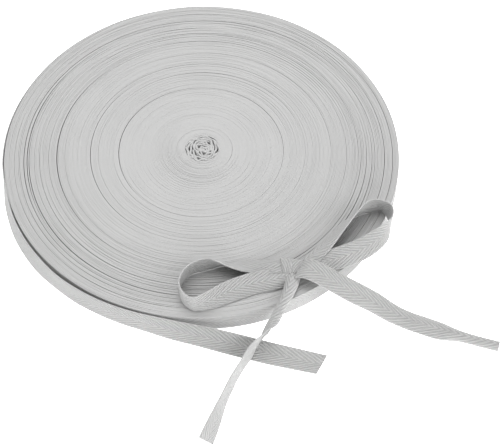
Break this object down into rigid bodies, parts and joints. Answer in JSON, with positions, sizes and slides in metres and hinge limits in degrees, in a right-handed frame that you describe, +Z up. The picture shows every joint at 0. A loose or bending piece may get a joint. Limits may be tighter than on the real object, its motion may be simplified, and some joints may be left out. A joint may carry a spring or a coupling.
{
  "type": "roll of cotton webbing tape tied with a bow",
  "caption": "Flat coiled roll of narrow herringbone cotton webbing tape, its outer end loose, with a bow of the same tape lying on its rim.",
  "frame": {"origin": "centre of the roll's flat underside, on the surface that it lies on", "axes": "+Z up along the roll's winding axis, -Y towards the loose end and the bow's tails, +X to their right"},
  "size_m": [0.2294, 0.2486, 0.0205],
  "materials": {
    "cotton_tape": "matt herringbone weave, natural white cotton"
  },
  "bodies": {
    "root": {"roll": "cotton_tape", "loose_end": "cotton_tape", "bow": "cotton_tape"}
  },
  "joints": []
}
